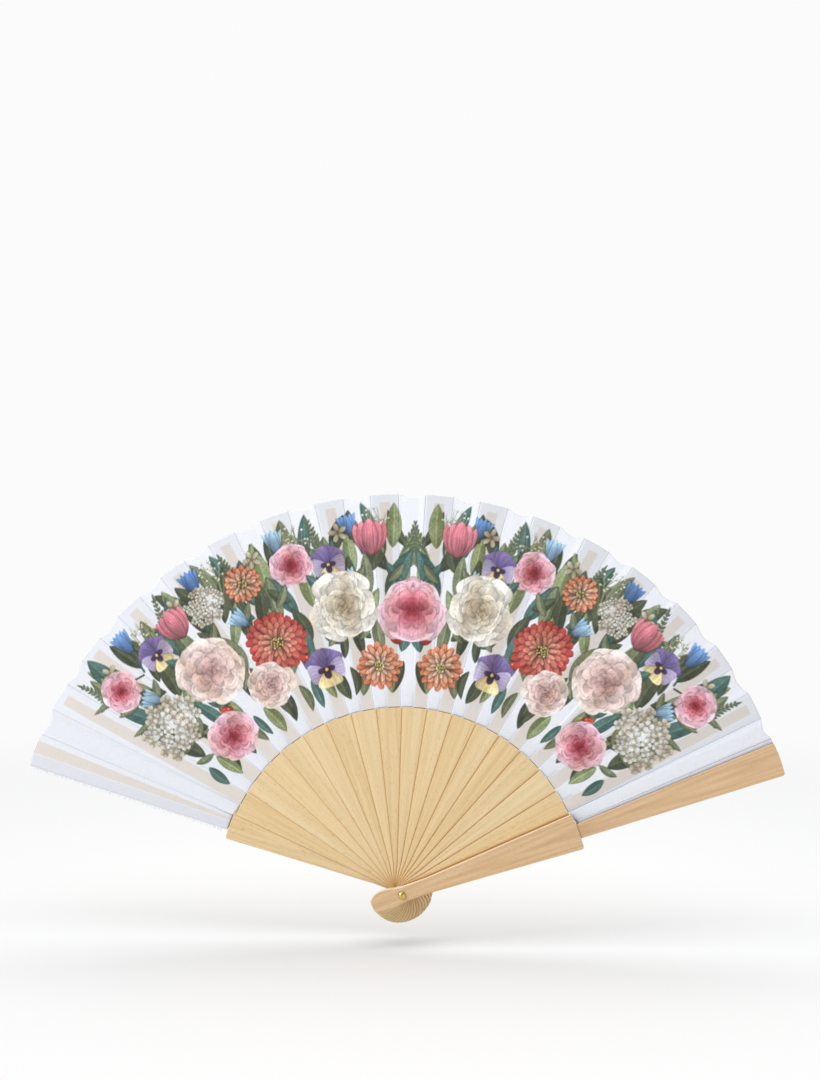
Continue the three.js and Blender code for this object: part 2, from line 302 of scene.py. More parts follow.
def spun(point, turn):
    """A point turned clockwise by that many degrees."""
    a = math.radians(turn)
    x, y = point
    return np.array([x * math.cos(a) + y * math.sin(a), y * math.cos(a) - x * math.sin(a)])


def rose(c, place, size, tones, rings=6, petals=7, ruffle=0.1, core=0.12):
    """A full rose or peony: rings of cupped petals from the rim to the heart, in tones from rim to heart."""
    centre = polar(*place)
    for k in range(rings):
        share = k / (rings - 1)
        scale = 1 - share * (1 - core)
        if share < 0.5:
            tone = mix(tones[0], tones[1], min(share * 2, 1))
        else:
            tone = mix(tones[1], tones[2], share * 2 - 1)
        count = max(4, round(petals * (0.6 + 0.4 * scale)))
        order = list(ring(centre, (size * scale, size * scale), place[0], count, k * 1.3 + c.rng.random()))
        c.rng.shuffle(order)
        for _, rim_point in order:
            out = rim_point - centre
            reach = 1 + ruffle * (c.rng.random() - 0.5) * 2
            shift = spun(out, 90) * (c.rng.random() - 0.5) * 0.25
            light = tone * (1 + 0.1 * (c.rng.random() - 0.5))
            paint = wash(light * 0.74, np.minimum(light * 1.08, 1), 0.8, streaks=5, vein=0.1)
            half = np.hypot(*out) * math.pi / count * 1.25 + 0.4
            c.petal(centre + out * 0.05, centre + out * reach + shift, half, paint,
                    form=(0.75, 0.3), shade=0.28, edge=0.16)


def dahlia(c, place, size, tones, petals=22):
    """A dahlia or daisy: rings of narrow petals round a yellow eye. tones run from its rim inwards."""
    middle = polar(*place)
    for k, share in enumerate((1.0, 0.86, 0.68, 0.48)):
        tone = mix(tones[0], tones[1], k / 3)
        order = list(ring(middle, (size * share, size * share), place[0], petals - 3 * k, k * 0.37))
        c.rng.shuffle(order)
        for _, end in order:
            end = middle + (end - middle) * (0.92 + 0.14 * c.rng.random())
            paint = wash(tone * 0.55, np.minimum(tone * 1.12, 1), 0.8, streaks=3, vein=0.3, side=0.12)
            c.petal(middle, end, size * share * 0.15, paint, bend=c.rng.normal(0, 0.04) * size,
                    form=(0.9, 0.35), shade=0.4, edge=0.3)
    for _ in range(40):
        a, r = c.rng.random() * 2 * math.pi, math.sqrt(c.rng.random()) * size * 0.2
        tone = mix(rgb("c0a44c"), rgb("ecdd9a"), c.rng.random())
        c.dot(middle + [r * math.sin(a), r * math.cos(a)], 0.6, tone, 0.3, 0.15)


def pansy(c, place, size):
    """A pansy: violet upper petals, lilac side ones, a pale yellow lip and a dark face."""
    middle, turn = polar(*place), place[0]
    violet = wash(rgb("4c3d6b"), rgb("7f70a3"), 0.7, streaks=5, vein=0.2)
    lilac = wash(rgb("8577a8"), rgb("b7adc9"), 0.6, streaks=6, vein=0.2)
    lip = wash(rgb("c9ad62"), rgb("e9dcae"), 0.6, streaks=5, vein=0.14)
    petals = [(-32, 1.0, 0.6, violet), (32, 1.0, 0.6, violet),
              (-95, 0.88, 0.5, lilac), (95, 0.88, 0.5, lilac), (180, 0.85, 0.62, lip)]
    for angle, reach, half, paint in petals:
        end = middle + spun(np.array([0, reach * size]), turn + angle)
        c.petal(middle, end, half * size, paint, form=(0.9, 0.28), shade=0.3, edge=0.14)
    face = wash(rgb("2c2038"), rgb("4a3558"), 1, streaks=5, vein=0.2)
    for angle, reach, half in [(-90, 0.42, 0.14), (90, 0.42, 0.14), (180, 0.46, 0.17)]:
        c.petal(middle, middle + spun(np.array([0, reach * size]), turn + angle), half * size, face,
                form=(0.5, 0.45), shade=0.1, edge=0.1)
    c.dot(middle, 0.09 * size, rgb("e3c65e"), 0.2, 0.1)


def tulip(c, place, size, tone):
    """A tulip seen from the side, opening outwards along the radius."""
    base, tip = polar(place[0], place[1] - size * 0.8), polar(place[0], place[1] + size)
    across = spun(np.array([size, 0.0]), place[0])
    paint = wash(tone * 0.66, np.minimum(tone * 1.15 + 0.06, 1), 0.8, streaks=5, vein=0.25)
    for spread, half in ((-0.75, 0.26), (0.75, 0.26), (-0.4, 0.34), (0.4, 0.34), (0.0, 0.38)):
        end = tip + across * spread - (tip - base) * abs(spread) * 0.18
        c.petal(base, end, size * half, paint, size * 0.2 * spread, form=(0.6, 0.6), shade=0.35, edge=0.25)


def bell(c, base, mouth, half, tone="4673ae"):
    """A blue bellflower from its calyx to its mouth, whose tips turn out."""
    a, b = polar(*base), polar(*mouth)
    along = b - a
    across = np.array([along[1], -along[0]]) / np.hypot(*along)
    blue = rgb(tone)
    paint = wash(blue * 0.62, np.minimum(blue * 1.3 + 0.08, 1), 0.9, streaks=4, vein=0.25)
    for side in (-1.4, 1.4, -0.7, 0.7, 0.0):
        end = b + across * half * side - along * abs(side) * 0.05
        c.petal(a, end, half * 0.55, paint, -half * 0.2 * side, form=(0.6, 0.75), shade=0.3, edge=0.22)
    c.petal(a - along * 0.16, a + along * 0.16, half * 0.4, DARK_LEAF, form=(0.5, 0.6))


def floret(c, centre, size, tone, petals=4, eye="b8a874"):
    """A small open flower."""
    start = c.rng.random() * 2 * math.pi
    paint = wash(tone * 0.8, np.minimum(tone * 1.06, 1), 0.6, streaks=3, vein=0.08)
    for i in range(petals):
        a = start + 2 * math.pi * i / petals
        end = centre + np.array([math.sin(a), math.cos(a)]) * size
        c.petal(centre, end, size * 0.52, paint, form=(0.7, 0.35), shade=0.3, edge=0.22)
    c.dot(centre, size * 0.16 + 0.1, rgb(eye), 0.2, 0.1)


def cluster(c, place, size, tones, count=34):
    """A head of many florets, paler towards its middle and a little wider than high."""
    middle, high = polar(*place), size * 0.9
    for i in range(count):
        a, r = i * 2.399963, math.sqrt((count - i) / count)
        spot = middle + spun(np.array([math.sin(a) * r * size, math.cos(a) * r * high]), place[0])
        tone = mix(tones[0], tones[1], np.clip(r + 0.5 * (c.rng.random() - 0.5), 0, 1))
        floret(c, spot + c.rng.normal(0, 0.5, 2), size * 0.19 * (0.85 + 0.3 * c.rng.random()), tone)


def star(c, place, size):
    """A jasmine star with five narrow petals."""
    middle = polar(*place)
    for i in range(5):
        end = middle + spun(np.array([0, size]), place[0] + 72 * i + 10)
        paint = wash(rgb("8f8568"), rgb("cfc6ad"), 0.7)
        c.petal(middle, end, size * 0.27, paint, form=(0.7, 0.45), shade=0.35, edge=0.25)
    c.dot(middle, size * 0.12, rgb("77693c"), 0.2, 0.1)


def berry(c, place, radii, turn, tone="bf3f2c"):
    """A red rose hip, longer than wide, with a highlight."""
    middle = polar(*place)
    reach = spun(np.array([0, radii[0]]), turn)
    paint = wash(rgb(tone) * 0.72, np.minimum(rgb(tone) * 1.15, 1), 1, streaks=2, vein=0.1, side=0.18)
    c.petal(middle - reach, middle + reach, radii[1], paint, form=(0.42, 0.42), shade=0.4, edge=0.3)
    c.dot(middle + [-0.25 * radii[1], 0.35 * radii[1]], radii[1] * 0.3, rgb("e88a76"), 0, 0.15)


# ---- the border: its own layout, by rule ----
BORDER_END = 60.0  # degrees from the middle of the print to its last bloom
ROW_STEP = 14.2  # degrees between neighbouring blooms of a row
INNER_ROW, MIDDLE_ROW, OUTER_ROW = 125.0, 151.5, 186.0  # the rows' radii, in mm
INNER_SIZE, MIDDLE_SIZE, OUTER_SIZE = 12.0, 16.5, 10.5
CREAM = (rgb("dedad2"), rgb("d0c8b8"), rgb("b3a284"))
BLUSH = (rgb("e8d8d2"), rgb("dabdb8"), rgb("bd9490"))
PINK = (rgb("e6c3d0"), rgb("d9929f"), rgb("9c2f3c"))
RED = (rgb("a9433b"), rgb("d8907c"))
CORAL = (rgb("d4805e"), rgb("ecc3a6"))
WHITE_HEAD = (rgb("f2f3f2"), rgb("c3bdae"))
BLUES = ("567cae", "7f9fc6", "476c9f")
BLOOMS = {
    "cream": (rose, dict(tones=CREAM, rings=9, petals=9, ruffle=0.16)),
    "blush": (rose, dict(tones=BLUSH, rings=7, petals=8)),
    "pink": (rose, dict(tones=PINK, rings=7, petals=7, core=0.16)),
    "red": (dahlia, dict(tones=RED)),
    "coral": (dahlia, dict(tones=CORAL, petals=16)),
    "head": (cluster, dict(tones=WHITE_HEAD)),
    "pansy": (pansy, {}),
    "tulip": (tulip, dict(tone=rgb("c2707d"))),
}


def undergrowth(c):
    """Leaves behind the blooms. They point outwards, but for those along the border's inner edge."""
    paints = (DARK_LEAF, MID_LEAF, PALE_LEAF, DARK_LEAF, TEAL_LEAF)
    rows = ((184, 22, 2.5), (172, 24, 3.1), (158, 24, 3.5), (142, 22, 4.0), (128, 20, 4.6), (123, -15, 3.4))
    for row, (radius, reach, step) in enumerate(rows):
        for i, turn in enumerate(np.arange(step / 2, BORDER_END, step)):
            long = reach * (0.8 + 0.4 * c.rng.random())
            lean = c.rng.normal(0, 2.0)
            leaf(c, (turn, radius), (turn + lean, radius + long), abs(long) * (0.13 + 0.07 * c.rng.random()),
                 paints[(2 * i + row) % len(paints)], c.rng.normal(0, 0.8))


def edging(c):
    """Sprigs that stand out of the border along its outer edge and past its end."""
    for i, turn in enumerate(np.arange(1.8, BORDER_END, ROW_STEP / 4)):
        base, lean = OUTER_ROW - 4, c.rng.normal(0, 1.2)
        top = base + 22 + 4 * c.rng.random()
        if i % 4 == 0:
            frond(c, (turn, base), (turn + lean, top), 5.0, bend=c.rng.normal(0, 1.5))
        elif i % 4 == 1:
            tips = [(turn + lean + 1.2 * k, top - 3 * abs(k)) for k in (-1.5, -0.5, 0.5, 1.5)]
            spray(c, (turn, base), tips)
        elif i % 4 == 2:
            stem(c, [(turn, base), (turn + lean / 2, base + 6), (turn + lean, base + 11)], 0.6, TEAL_STEM)
            bell(c, (turn + lean, base + 10), (turn + 1.4 * lean, top), 3.9, BLUES[i // 4 % len(BLUES)])
        else:
            star(c, (turn, base + 13), 5.2)
    for k, radius in enumerate(np.linspace(INNER_ROW, OUTER_ROW, 6)):
        start, reach = BORDER_END - 4, 3.4 + 1.6 * (k % 2)
        stem(c, [(start - 4, radius - 5), (start, radius), (start + reach, radius + 2)], 0.5, DARK_STEM)
        leaf(c, (start, radius), (start + reach + 1, radius + 5), 2.0, MID_LEAF, 0.6)


def filling(c):
    """Bells, berries and small leaves in the gaps between the rows."""
    for i, turn in enumerate(np.arange(ROW_STEP / 4, BORDER_END - 2, ROW_STEP / 2)):
        for radius in ((INNER_ROW + MIDDLE_ROW) / 2 + 3, (MIDDLE_ROW + OUTER_ROW) / 2 + 2):
            paint = DARK_LEAF if i % 2 else TEAL_LEAF
            leaf(c, (turn - 1.5, radius - 5), (turn + 1.5, radius + 6), 2.6, paint, 0.7)
            leaf(c, (turn + 1.2, radius - 5), (turn - 1.8, radius + 5), 2.2, MID_LEAF, -0.7)
        if i % 3 == 0:
            berry(c, (turn, MIDDLE_ROW - 17), (3.2, 2.2), turn + 60)
        elif i % 3 == 1:
            bell(c, (turn, MIDDLE_ROW + 12), (turn + 2.0, MIDDLE_ROW + 23), 3.6, BLUES[i % len(BLUES)])


def paint_print():
    """The right half of a mirrored garden border, from its leaves to three staggered rows of blooms."""
    c = Canvas()
    undergrowth(c)
    edging(c)
    rows = ((OUTER_ROW, OUTER_SIZE, 0.5, 0.5, ("tulip", "pansy", "pink", "coral", "head")),
            (MIDDLE_ROW, MIDDLE_SIZE, 0.0, 1.0, ("pink", "cream", "red", "blush", "head")),
            (INNER_ROW, INNER_SIZE, 0.5, 1.0, ("coral", "pansy", "blush", "pink")))
    for radius, size, first, step, kinds in rows:
        if radius == MIDDLE_ROW:
            filling(c)
        for i, turn in enumerate(np.arange(first, BORDER_END / ROW_STEP, step) * ROW_STEP):
            at = (turn + (0.8 * c.rng.normal() if turn else 0.0), radius + 2.5 * c.rng.normal())
            draw, look = BLOOMS[kinds[i % len(kinds)]]
            draw(c, at, size * (0.92 + 0.16 * c.rng.random()), **look)
    return c


# ---- the leaf ----
# Lengths are in mm. Turns are in degrees from upright about the rivet, whose axis is the frame's Y axis, and
# heights are along +Y from the middle of the stack of sticks.
def around_rivet(name):
    """A CAD node's points, as radii from the rivet's axis and turns."""
    x, _, z = np.array([v.co for v in frame["nodes"][name].data.vertices]).T * 1000
    return np.hypot(x, z), np.degrees(np.arctan2(x, z))


def front_and_back(name):
    """The Y of a CAD node's foremost and rearmost points."""
    return np.array([corner.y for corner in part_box(name)]) * 1000


def stick_turns():
    """Each stick's turn in the open fan. A guard's farthest point is on its centre line, and the joints'
    ranges are the steps from one stick to the next."""
    radius, turn = around_rivet("back_guard")
    turns = [float(turn[radius.argmax()])]
    steps = {j["child"]: -j["range_deg"][0] for j in frame["joints"]}
    for k in range(1, LAST + 1):
        turns.append(turns[-1] + steps[f"stick_{k:02d}"])
    return turns


def rib_height(k):
    return ((LAST / 2) - k) * RIB_PITCH


def slip_tip(k):
    """How far a rib's slip reaches along the rib, and half its width there."""
    radius, turn = around_rivet(f"rib_{k:02d}")
    off = np.radians(turn - TURNS[k])
    along, across = radius * np.cos(off), radius * np.sin(off)
    return float(along.max()), float(across[along > along.max() - 0.01].max())


LAST = len(frame["joints"])  # the front guard's number; the back guard's is 0
MIDDLE = LAST // 2  # a rib at the middle of the fan
TURNS = stick_turns()
MEAN_STEP = (TURNS[LAST] - TURNS[0]) / LAST
STACK_MIDDLE = (front_and_back("front_guard")[0] + front_and_back("back_guard")[1]) / 2
RIB_PITCH = (front_and_back("rib_01") - front_and_back(f"rib_{LAST - 1:02d}"))[0] / (LAST - 2)

# The cloth solids on the back guard, on the middle rib and on the front guard. Those on the guards are flat.
back_cloth, rib_cloth, front_cloth = (front_and_back(f"leaf_pleat_{k:02d}") for k in (0, MIDDLE, LAST))
hem_radii, hem_turns = around_rivet("leaf_pleat_00")
pleat_radii, _ = around_rivet(f"leaf_pleat_{MIDDLE:02d}")
CLOTH_ON_BACK_GUARD, CLOTH_ON_FRONT_GUARD = (c.mean() - STACK_MIDDLE for c in (back_cloth, front_cloth))
CLOTH_ON_RIB = rib_cloth.mean() - STACK_MIDDLE - rib_height(MIDDLE)  # from the middle of its rib
LEAF_INNER = pleat_radii.min() - 0.2  # nearer to the gorge's end than the solid
LEAF_OUTER = pleat_radii.max() + 0.1
GUARD_LEAF_INNER = hem_radii.min()
GLUED_HALF = MEAN_STEP / 4  # glued and free pleats share each step equally
BACK_EDGE = hem_turns.min() - TURNS[0]  # the glued cloth's left edge on the back guard
FRONT_EDGE = -3.0  # and on the front guard, just past its blade
GLUED_WIDTH = 2 * pleat_radii.max() * math.sin(math.radians(GLUED_HALF))
LEAN = (np.ptp(rib_cloth) - np.ptp(back_cloth)) / GLUED_WIDTH  # slope of a glued pleat across its stick
LEAN_START, LEAN_FULL = LEAF_INNER - 0.4, LEAF_INNER + 19.6
SLIP_END, SLIP_TIP_HALF = slip_tip(MIDDLE)
SLIP_START, SLIP_ROOT_HALF = LEAF_INNER - 0.2, 1.2 * SLIP_TIP_HALF
CLOTH_THICK = 0.1
SCALLOP = 2.0  # a free pleat's outer edge dips by this in its middle
CLEAR_OF_NEXT = 0.56  # how far behind the next stick's cloth a folded free pleat lies
FOLD_ROUND, FOLD_REACH = 0.16, 0.6
CLOTH_POINT = 0.48  # between the leaf's mesh points at its outer edge
FRAY_SPACING, FRAY_REACH = 0.42, 2.2  # of the loose threads at the raw edge
THREAD_ROOT, THREAD_TIP = 0.17, 0.08  # half their thickness
HEM_RAGGED = 0.09  # spread of the raw edge's points about a straight line
HEM_EDGE, BARE_EDGE = (-0.2, -3.4), (1.9, 4.1)  # across the back guard, at the leaf's inner and outer edge
SHOW_THROUGH = 0.3  # share of the print that shows on the back
TINT_UNDER_INK = 0.65  # share of the slips' tint that the print takes
PRINT_CENTRE = 0.6  # the turn of the print's line of symmetry past the leaf's middle

CLOTH_FRONT, CLOTH_BACK = rgb("e6e9ef"), rgb("e6e8ee")
STRIP_TINT = rgb("f6ebde")
HEM_TINT = rgb("f4f2f4")
THREAD = rgb("dfe1e7")


def smooth(x):
    """Eases a share in and out between 0 and 1."""
    x = np.clip(x, 0, 1)
    return x * x * (3 - 2 * x)


def lean_at(radius):
    return LEAN * smooth((radius - LEAN_START) / (LEAN_FULL - LEAN_START))


def slip_half(radius):
    share = np.clip((radius - SLIP_START) / (SLIP_END - SLIP_START), 0, 1)
    return SLIP_ROOT_HALF + (SLIP_TIP_HALF - SLIP_ROOT_HALF) * share


def left_edge(k):
    return BACK_EDGE if k == 0 else FRONT_EDGE if k == LAST else -GLUED_HALF


def glued_height(k, across, radius):
    """Height of the cloth glued to stick k, at a distance across the stick's centre line."""
    if k == 0:
        return np.full_like(across, CLOTH_ON_BACK_GUARD)
    if k == LAST:
        return np.full_like(across, CLOTH_ON_FRONT_GUARD)
    return rib_height(k) + CLOTH_ON_RIB + across * lean_at(radius)


def free_height(k, share, radius):
    """Height of the cloth between sticks k and k+1, set so that it clears both sticks' cloth when folded."""
    folded = GLUED_HALF + (left_edge(k + 1) - GLUED_HALF) * share
    across = radius * np.sin(np.radians(folded))
    first, last = glued_height(k, across, radius), glued_height(k + 1, across, radius)
    middle = (first + last) / 2 if k + 1 == LAST else last + CLEAR_OF_NEXT
    half = radius * math.sin(math.radians(GLUED_HALF))
    turn_in = np.clip(0.5 - 0.5 * (slip_half(radius) + 0.2) / half, 0.03, 0.5)
    rise = (middle - first) * smooth(share / turn_in)
    return first + rise + (last - middle) * smooth((share - 1 + turn_in) / turn_in)


def fold_round(before, after, radius):
    """Softens the creases, by the distances from a fold that points back and one that points forward."""
    reach = lean_at(radius) / LEAN * FOLD_ROUND
    return reach * (np.exp(-after / FOLD_REACH) - np.exp(-before / FOLD_REACH))


def printed(mesh, light):
    """The piece of a cloth mesh, each of its points printed with a colour."""
    attribute = mesh.color_attributes.new("print", "FLOAT_COLOR", "POINT")
    attribute.data.foreach_set("color", np.c_[light, np.ones(len(light))].astype(np.float32).ravel())
    mesh.materials.append(CLOTH)
    piece = bpy.data.objects.new(mesh.name, mesh)
    bpy.context.scene.collection.objects.link(piece)
    return piece


def shell(name, x, z, height, inks):
    """A closed cloth sheet from grids of its points. inks are its front and back colours."""
    rows, columns = x.shape
    count = rows * columns
    index = np.arange(count).reshape(rows, columns)
    sheet = [np.stack([x, STACK_MIDDLE + height + side * CLOTH_THICK / 2, z], -1) for side in (-1, 1)]
    points = np.concatenate([s.reshape(-1, 3) for s in sheet]) / 1000
    a, b = index[:-1, :-1].ravel(), index[:-1, 1:].ravel()
    c, d = index[1:, 1:].ravel(), index[1:, :-1].ravel()
    quads = [np.stack([a, b, c, d], 1), np.stack([a, d, c, b], 1) + count]
    rim = np.concatenate([index[0, :], index[1:, -1], index[-1, -2::-1], index[-2:0:-1, 0]])
    after = np.roll(rim, -1)
    quads.append(np.stack([rim, rim + count, after + count, after], 1))
    quads = np.concatenate(quads).astype(np.int32)
    mesh = bpy.data.meshes.new(name)
    mesh.vertices.add(len(points))
    mesh.vertices.foreach_set("co", points.astype(np.float32).ravel())
    mesh.loops.add(quads.size)
    mesh.loops.foreach_set("vertex_index", quads.ravel())
    mesh.polygons.add(len(quads))
    mesh.polygons.foreach_set("loop_start", np.arange(0, quads.size, 4, dtype=np.int32))
    mesh.polygons.foreach_set("loop_total", np.full(len(quads), 4, np.int32))
    mesh.update(calc_edges=True)
    mesh.validate()
    mesh.polygons.foreach_set("use_smooth", np.ones(len(quads), bool))
    return printed(mesh, linear_light(np.concatenate([i.reshape(-1, 3) for i in inks])))


def print_at(canvas, cloth_turn, radius):
    """The ink and its cover at points of the leaf, from the canvas and its mirror image."""
    angle = np.radians(cloth_turn - PRINT_CENTRE)
    x = (np.abs(radius * np.sin(angle)) - CANVAS_LEFT) / CANVAS_STEP
    y = (radius * np.cos(angle) - CANVAS_BOTTOM) / CANVAS_STEP
    j = np.clip(x.astype(int), 0, len(canvas.x) - 2)
    i = np.clip(y.astype(int), 0, len(canvas.y) - 2)
    u, v = np.clip(x - j, 0, 1), np.clip(y - i, 0, 1)
    out = 0
    corners = [(0, 0, (1 - v) * (1 - u)), (0, 1, (1 - v) * u), (1, 0, v * (1 - u)), (1, 1, v * u)]
    for di, dj, weight in corners:
        layer = np.concatenate([canvas.ink[i + di, j + dj], canvas.cover[i + di, j + dj][..., None]], -1)
        out = out + layer * weight[..., None]
    return out[..., :3], out[..., 3:]


def leaf_inks(canvas, k, offset, radius, tint):
    """Front and back colours of cloth at a turn past stick k: the print, over cloth that the slips tint."""
    before = TURNS[k] - TURNS[k - 1] if k else TURNS[1] - TURNS[0]
    after = TURNS[k + 1] - TURNS[k] if k < LAST else before
    stick = k + np.where(offset < 0, offset / before, offset / after)
    ink, cover = print_at(canvas, (stick - LAST / 2) * MEAN_STEP, radius)
    ground = CLOTH_FRONT * tint
    front = ink * (1 - TINT_UNDER_INK + TINT_UNDER_INK * tint) + ground * (1 - cover)
    back = CLOTH_BACK * (1 - SHOW_THROUGH * cover) + SHOW_THROUGH * ink
    return front, back


def leaf_piece(kind, canvas, k, offset, radius, height, tint):
    """The sheet through points at turns past stick k, which stands for that stick's cloth solid."""
    turn = np.radians(TURNS[k] + offset)
    inks = leaf_inks(canvas, k, offset, radius, tint)
    piece = shell(f"leaf_{kind}_{k:02d}", radius * np.sin(turn), radius * np.cos(turn), height, inks)
    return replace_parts(piece, f"leaf_pleat_{k:02d}")


def grid(offsets, radii_in, radii_out):
    rows = max(2, round((LEAF_OUTER - LEAF_INNER) / CLOTH_POINT))
    up = np.linspace(0, 1, rows)[:, None]
    radii = radii_in[None, :] + (radii_out - radii_in)[None, :] * up
    return np.broadcast_to(offsets[None, :], (rows, len(offsets))), radii


def columns(span):
    return max(4, round(math.radians(span) * LEAF_OUTER / CLOTH_POINT)) + 1


def glued_pleat(canvas, k, rng):
    """The cloth glued to stick k. It rides on the stick."""
    left = left_edge(k)
    flat = np.linspace(left, GLUED_HALF, columns(GLUED_HALF - left))
    inner = GUARD_LEAF_INNER if k in (0, LAST) else LEAF_INNER
    offset, radius = grid(flat, np.full_like(flat, inner), np.full_like(flat, LEAF_OUTER))
    across = radius * np.sin(np.radians(offset))
    height = glued_height(k, across, radius)
    reach = radius * math.sin(math.radians(GLUED_HALF))
    if k == 0:
        crease = FOLD_ROUND * np.exp((across - reach) / FOLD_REACH)
        height = height - lean_at(radius) / LEAN * crease
        tint = hem_tint(across, radius)
        ragged = rng.normal(0, HEM_RAGGED, radius.shape[0])[:, None] * (offset < left + 0.13)
        offset = offset + np.degrees(ragged / radius)
    elif k == LAST:
        tint = np.ones((*radius.shape, 3))
    else:
        height = height + fold_round(reach - across, reach + across, radius)
        tint = strip_tint(across, radius)
    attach(leaf_piece("glued", canvas, k, offset, radius, height, tint), f"stick_{k:02d}")


def free_pleat(canvas, k):
    """The cloth between sticks k and k+1, each radial line at its share of the way from one stick to the
    other.
    """
    end = TURNS[k + 1] - TURNS[k] + left_edge(k + 1)
    share_flat = np.linspace(0, 1, columns(end - GLUED_HALF))
    to_guard = 1 - share_flat if k == 0 else share_flat * (k + 1 == LAST)
    inner = LEAF_INNER + (GUARD_LEAF_INNER - LEAF_INNER) * to_guard
    dip = LEAF_OUTER - SCALLOP * np.sin(math.pi * share_flat) ** 1.3
    share, radius = grid(share_flat, inner, dip)
    offset = GLUED_HALF + (end - GLUED_HALF) * share
    span = np.radians(end - GLUED_HALF) * radius
    height = free_height(k, share, radius) + fold_round(share * span, (1 - share) * span, radius)
    piece = leaf_piece("free", canvas, k, offset, radius, height, np.ones((*radius.shape, 3)))
    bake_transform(piece)


def frayed_edge(rng):
    """Loose thread ends that stand out of the raw edge beside the back guard, as thin closed prisms."""
    turn = math.radians(TURNS[0] + BACK_EDGE)
    out = np.array([math.sin(turn), 0, math.cos(turn)])
    aside = np.array([-math.cos(turn), 0, math.sin(turn)])
    points, faces = [], []
    for radius in np.arange(GUARD_LEAF_INNER + 1, LEAF_OUTER - 1, FRAY_SPACING):
        root = out * radius + [0, STACK_MIDDLE + CLOTH_ON_BACK_GUARD, 0] - aside * 0.2
        reach = aside * rng.uniform(0.4, FRAY_REACH) + out * rng.normal(0, 0.3) + [0, rng.normal(0, 0.12), 0]
        first = len(points)
        for end, thick in ((root, THREAD_ROOT), (root + reach, THREAD_TIP)):
            for k in range(3):
                a = 2 * math.pi * k / 3
                points.append((end + thick * (out * math.sin(a) + np.array([0, math.cos(a), 0]))) / 1000)
        faces += [(first, first + 1, first + 2), (first + 5, first + 4, first + 3)]
        faces += [(first + k, first + 3 + k, first + 3 + (k + 1) % 3, first + (k + 1) % 3) for k in range(3)]
    mesh = bpy.data.meshes.new("leaf_frayed_edge")
    mesh.from_pydata([tuple(p) for p in points], [], faces)
    mesh.validate()
    threads = bmesh.new()
    threads.from_mesh(mesh)
    bmesh.ops.recalc_face_normals(threads, faces=threads.faces)
    threads.to_mesh(mesh)
    threads.free()
    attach(printed(mesh, np.tile(linear_light(THREAD), (len(points), 1))), "stick_00")


def strip_tint(across, radius):
    """The slip behind the cloth shows through as a beige strip."""
    edge = slip_half(radius) - np.abs(across)
    shown = np.clip(edge / 0.5 + 0.5, 0, 1) * np.clip((SLIP_END - radius) / 0.6 + 0.5, 0, 1)
    return 1 + (STRIP_TINT - 1) * shown[..., None]


def hem_tint(across, radius):
    """On the back guard the cloth is doubled at its raw edge, and the guard shows through beside that."""
    out = (radius - LEAF_INNER) / (LEAF_OUTER - LEAF_INNER)
    hem, bare = (start + (end - start) * out for start, end in (HEM_EDGE, BARE_EDGE))
    shown = np.clip((across - hem) / 0.5, 0, 1) * np.clip((bare - across) / 0.5, 0, 1)
    doubled = np.clip((hem - across) / 0.4, 0, 1)
    return 1 + (STRIP_TINT - 1) * shown[..., None] + (HEM_TINT - 1) * doubled[..., None]


# ---- materials ----
class Nodes:
    """Short calls for a material's node tree."""

    def __init__(self, name):
        self.material = bpy.data.materials.new(name)
        self.material.use_nodes = True
        self.tree = self.material.node_tree
        self.shader = self.tree.nodes["Principled BSDF"]

    def add(self, kind, inputs=None, **settings):
        node = self.tree.nodes.new("ShaderNode" + kind)
        for key, value in settings.items():
            setattr(node, key, value)
        for key, value in (inputs or {}).items():
            self.put(node.inputs[key], value)
        return node

    def put(self, socket, value):
        if isinstance(value, bpy.types.NodeSocket):
            self.tree.links.new(value, socket)
        else:
            socket.default_value = value

    def math(self, operation, *values):
        return self.add("Math", dict(enumerate(values)), operation=operation).outputs[0]

    def noise(self, vector, scale, detail=2.0, rough=0.5, distortion=0.0):
        inputs = {"Vector": vector, "Scale": scale, "Detail": detail, "Roughness": rough,
                  "Distortion": distortion}
        return self.add("TexNoise", inputs).outputs["Fac"]

    def grain(self, vector, scale, *settings):
        """Noise with its own scale along each axis."""
        return self.noise(self.add("Mapping", {"Vector": vector, "Scale": scale}).outputs[0], 1.0, *settings)

    def ramp(self, factor, *stops):
        node = self.add("ValToRGB", {"Fac": factor})
        elements = node.color_ramp.elements
        while len(elements) < len(stops):
            elements.new(0.5)
        for element, (place, colour) in zip(elements, stops):
            element.position = place
            element.color = colour
        return node.outputs["Color"]

    def mix(self, factor, a, b, blend="MIX"):
        node = self.add("Mix", data_type="RGBA", blend_type=blend)
        for socket, value in zip((node.inputs[0], node.inputs[6], node.inputs[7]), (factor, a, b)):
            self.put(socket, value)
        return node.outputs[2]

    def bump(self, height, strength, distance):
        inputs = {"Height": height, "Strength": strength, "Distance": distance}
        return self.add("Bump", inputs).outputs["Normal"]

    def surface(self, **inputs):
        for key, value in inputs.items():
            self.put(self.shader.inputs[key.replace("_", " ")], value)
        return self.material


def linear(code):
    """A node colour from six hex digits."""
    return (*linear_light(rgb(code).astype(float)).tolist(), 1.0)


def grey(value):
    return (value, value, value, 1.0)


PLEAT_REACH = 0.006  # metres over which a pleat shades its neighbour


